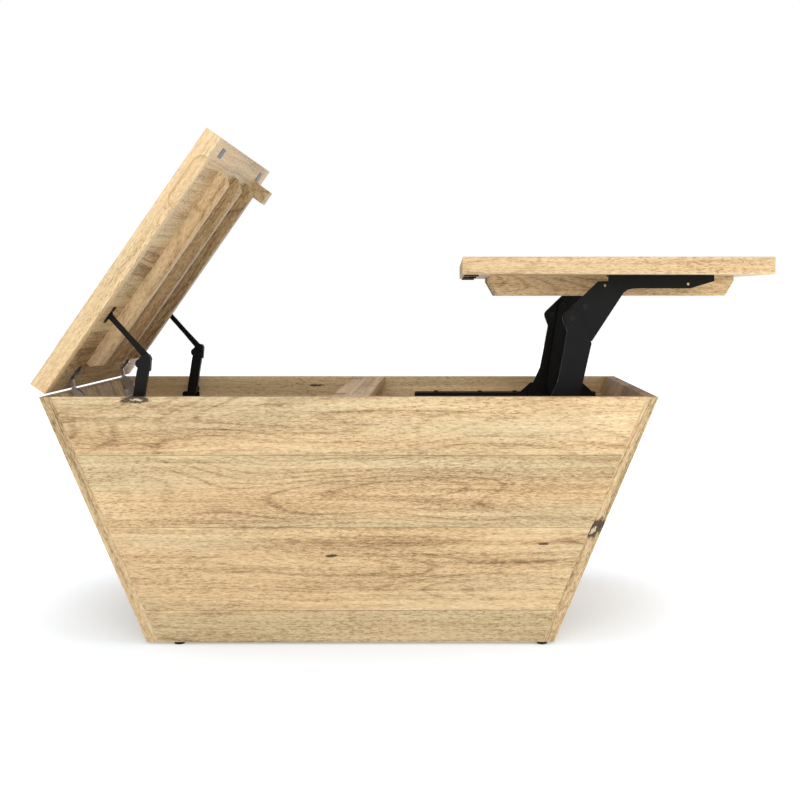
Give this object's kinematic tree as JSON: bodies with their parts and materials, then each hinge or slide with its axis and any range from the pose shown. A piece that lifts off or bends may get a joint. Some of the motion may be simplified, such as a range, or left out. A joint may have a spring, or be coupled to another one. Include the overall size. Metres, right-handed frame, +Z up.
{
  "type": "lift top coffee table",
  "caption": "Rectangular wooden coffee table with leaning ends; one half of the top is a hinged lid on stays, the other half lifts on a swinging arm mechanism.",
  "frame": {"origin": "on the floor under the middle of the box", "axes": "+X right along the length, +Y to the back, +Z up; the lid is the left half"},
  "size_m": [1.3387, 0.61, 0.9341],
  "materials": {
    "wood": "solid light mango wood, clear satin lacquer",
    "black_steel": "black powder coat",
    "screw_steel": "blackened steel",
    "spring_steel": "blackened spring steel",
    "stay_plastic": "black moulded nylon",
    "hinge_nickel": "nickel plate",
    "strike_steel": "grey plated steel, ribbed",
    "catch_black": "black moulded magnet case",
    "rubber_pads": "black rubber"
  },
  "bodies": {
    "carcass": {"front_panel": "wood", "rear_panel": "wood", "left_end_panel": "wood", "right_end_panel": "wood", "bottom_panel": "wood", "divider_panel": "wood", "centre_rail_left": "wood", "centre_rail_right": "wood", "mechanism_cleats": "wood", "feet": "rubber_pads", "catch_magnets": "catch_black", "base_rail_front": "black_steel", "base_rail_rear": "black_steel", "rail_screws": "screw_steel", "base_pivot_pins": "screw_steel", "lift_spring_front": "spring_steel", "lift_spring_rear": "spring_steel", "stay_foot_front": "black_steel", "stay_foot_rear": "black_steel", "hinge_plate_front": "hinge_nickel", "hinge_plate_rear": "hinge_nickel", "hinge_arm_front": "hinge_nickel", "hinge_arm_rear": "hinge_nickel"},
    "lid": {"lid_boards": "wood", "lid_front_edge": "wood", "lid_rear_edge": "wood", "lid_batten_front": "wood", "lid_batten_middle": "wood", "lid_batten_rear": "wood", "lid_stop_block": "wood", "lid_strike_plates": "strike_steel", "hinge_cup_front": "hinge_nickel", "hinge_cup_rear": "hinge_nickel", "stay_bracket_front": "black_steel", "stay_bracket_rear": "black_steel"},
    "lift_top": {"lift_boards": "wood", "lift_front_edge": "wood", "lift_rear_edge": "wood", "lift_batten_front": "wood", "lift_batten_middle": "wood", "lift_batten_rear": "wood", "lift_pads": "rubber_pads", "lift_bracket_front": "black_steel", "lift_bracket_rear": "black_steel", "lift_bracket_screws": "screw_steel", "lift_pivot_pins": "screw_steel"},
    "lift_arm_front": {"lift_arm_front": "black_steel"},
    "lift_arm_rear": {"lift_arm_rear": "black_steel"},
    "control_arm_front": {"control_arm_front": "black_steel"},
    "control_arm_rear": {"control_arm_rear": "black_steel"},
    "spring_hook_front": {"spring_hook_front": "spring_steel"},
    "spring_hook_rear": {"spring_hook_rear": "spring_steel"},
    "stay_lower_arm_front": {"stay_lower_arm_front": "stay_plastic"},
    "stay_lower_arm_rear": {"stay_lower_arm_rear": "stay_plastic"},
    "stay_upper_arm_front": {"stay_upper_arm_front": "black_steel"},
    "stay_upper_arm_rear": {"stay_upper_arm_rear": "black_steel"},
    "hinge_link_front": {"hinge_link_front": "hinge_nickel"},
    "hinge_link_rear": {"hinge_link_rear": "hinge_nickel"}
  },
  "joints": [
    {"name": "lid_hinge", "type": "hinge", "parent": "carcass", "child": "lid", "pos_m": [-0.5595, 0, 0.4695], "axis": [0, 1, 0], "range_deg": [0, 54.5]},
    {"name": "lift_arm_front", "type": "hinge", "parent": "carcass", "child": "lift_arm_front", "pos_m": [0.382, -0.23175, 0.417], "axis": [0, -1, 0], "range_deg": [0, 111.94], "deforming": ["lift_spring_front"]},
    {"name": "lift_arm_rear", "type": "hinge", "parent": "carcass", "child": "lift_arm_rear", "pos_m": [0.382, 0.23175, 0.417], "axis": [0, -1, 0], "range_deg": [0, 111.94], "deforming": ["lift_spring_rear"]},
    {"name": "control_arm_front", "type": "hinge", "parent": "carcass", "child": "control_arm_front", "pos_m": [0.40578, -0.22075, 0.43841], "axis": [0, -1, 0], "range_deg": [0, 111.94]},
    {"name": "control_arm_rear", "type": "hinge", "parent": "carcass", "child": "control_arm_rear", "pos_m": [0.40578, 0.22075, 0.43841], "axis": [0, -1, 0], "range_deg": [0, 111.94]},
    {"name": "lift_top_pivot", "type": "hinge", "parent": "lift_arm_front", "child": "lift_top", "pos_m": [0.40947, -0.23175, 0.59571], "axis": [0, 1, 0], "range_deg": [0, 111.94]},
    {"name": "spring_hook_front", "type": "hinge", "parent": "lift_arm_front", "child": "spring_hook_front", "pos_m": [0.36217, -0.207, 0.40349], "axis": [0, 1, 0], "range_deg": [0, 111.94]},
    {"name": "spring_hook_rear", "type": "hinge", "parent": "lift_arm_rear", "child": "spring_hook_rear", "pos_m": [0.36217, 0.207, 0.40349], "axis": [0, 1, 0], "range_deg": [0, 111.94]},
    {"name": "stay_lower_front", "type": "hinge", "parent": "carcass", "child": "stay_lower_arm_front", "pos_m": [-0.395, -0.25, 0.428], "axis": [0, 1, 0], "range_deg": [0, 115.4]},
    {"name": "stay_knee_front", "type": "hinge", "parent": "stay_lower_arm_front", "child": "stay_upper_arm_front", "pos_m": [-0.3745, -0.241, 0.5205], "axis": [0, -1, 0], "range_deg": [0, 114.02]},
    {"name": "hinge_link_front", "type": "hinge", "parent": "carcass", "child": "hinge_link_front", "pos_m": [-0.531, -0.183, 0.46], "axis": [0, 1, 0], "range_deg": [0, 92]},
    {"name": "stay_lower_rear", "type": "hinge", "parent": "carcass", "child": "stay_lower_arm_rear", "pos_m": [-0.395, 0.25, 0.428], "axis": [0, 1, 0], "range_deg": [0, 115.4]},
    {"name": "stay_knee_rear", "type": "hinge", "parent": "stay_lower_arm_rear", "child": "stay_upper_arm_rear", "pos_m": [-0.3745, 0.241, 0.5205], "axis": [0, -1, 0], "range_deg": [0, 114.02]},
    {"name": "hinge_link_rear", "type": "hinge", "parent": "carcass", "child": "hinge_link_rear", "pos_m": [-0.531, 0.183, 0.46], "axis": [0, 1, 0], "range_deg": [0, 92]}
  ],
  "couplings": [
    {"joint": "lift_arm_rear", "follows": "lift_arm_front", "ratio": 1},
    {"joint": "control_arm_front", "follows": "lift_arm_front", "ratio": 1},
    {"joint": "control_arm_rear", "follows": "lift_arm_front", "ratio": 1},
    {"joint": "lift_top_pivot", "follows": "lift_arm_front", "ratio": 1},
    {"joint": "spring_hook_front", "follows": "lift_arm_front", "ratio": 1},
    {"joint": "spring_hook_rear", "follows": "lift_arm_front", "ratio": 1},
    {"joint": "stay_lower_front", "follows": "lid_hinge", "ratio": 2.1174},
    {"joint": "stay_knee_front", "follows": "lid_hinge", "ratio": 2.092},
    {"joint": "hinge_link_front", "follows": "lid_hinge", "ratio": 1.6881},
    {"joint": "stay_lower_rear", "follows": "lid_hinge", "ratio": 2.1174},
    {"joint": "stay_knee_rear", "follows": "lid_hinge", "ratio": 2.092},
    {"joint": "hinge_link_rear", "follows": "lid_hinge", "ratio": 1.6881}
  ]
}
